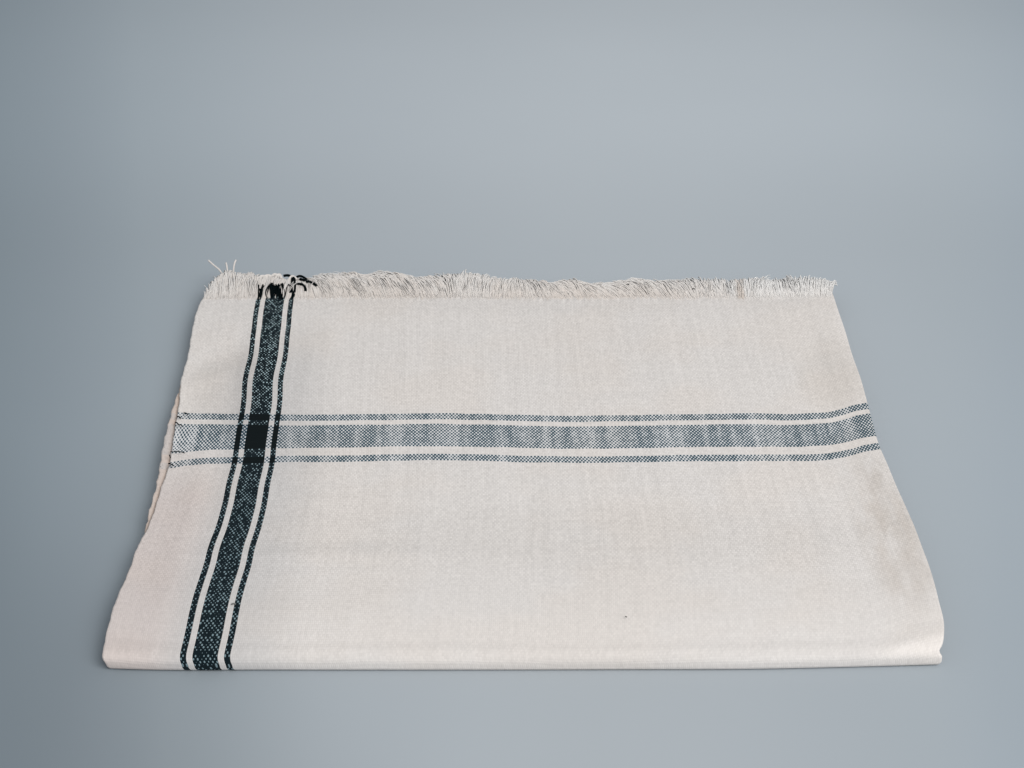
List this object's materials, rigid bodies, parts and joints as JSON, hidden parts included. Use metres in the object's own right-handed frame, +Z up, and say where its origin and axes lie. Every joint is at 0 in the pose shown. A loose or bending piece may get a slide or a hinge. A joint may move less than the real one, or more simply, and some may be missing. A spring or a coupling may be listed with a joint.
{
  "type": "handwoven towel",
  "caption": "Handwoven cotton towel with a short fringe at both ends, folded flat into a neat stack of layers with its outermost fold at the front",
  "frame": {"origin": "on the surface that the towel lies on, under the middle of its bounding box", "axes": "+X runs along the front fold from the selvedges to the right fold, -Y is the front with the outermost fold, +Z is up out of the surface"},
  "size_m": [0.4093, 0.3584, 0.0177],
  "materials": {
    "cloth": "matt handwoven cotton in plain weave, cream with dark stripes",
    "fringe": "matt loose cotton yarn ends"
  },
  "bodies": {
    "root": {"cloth": "cloth", "fringe_first_end": "fringe", "fringe_second_end": "fringe"}
  },
  "joints": []
}
